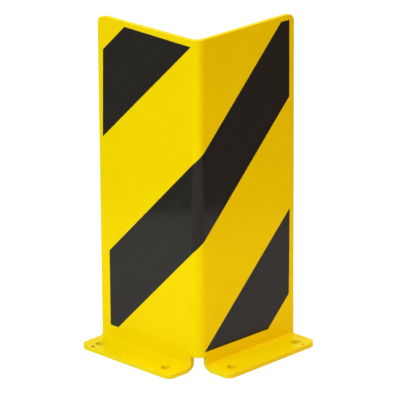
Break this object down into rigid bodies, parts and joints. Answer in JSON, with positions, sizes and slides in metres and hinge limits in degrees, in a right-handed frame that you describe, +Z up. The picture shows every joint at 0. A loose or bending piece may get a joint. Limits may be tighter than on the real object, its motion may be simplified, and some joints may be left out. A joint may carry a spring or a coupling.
{
  "type": "corner impact guard",
  "caption": "Upright L-shaped corner guard folded from thick steel sheet, with out-turned bolt-down feet and slanted black hazard stripes over a yellow coat.",
  "frame": {"origin": "on the floor, in the middle of the guard's footprint, inside the L", "axes": "+Z up along the upright bend; the outer corner points to +X and -Y; one leg's outer face looks to -Y, the other leg's outer face looks to +X"},
  "size_m": [0.198, 0.198, 0.4],
  "materials": {
    "yellow_coat": "glossy powder coat on steel, smooth with a very fine orange peel",
    "black_film": "semi-gloss self-adhesive vinyl film"
  },
  "bodies": {
    "root": {"corner_plate": "yellow_coat", "upper_left_film": "black_film", "bend_film": "black_film", "lower_right_film": "black_film"}
  },
  "joints": []
}
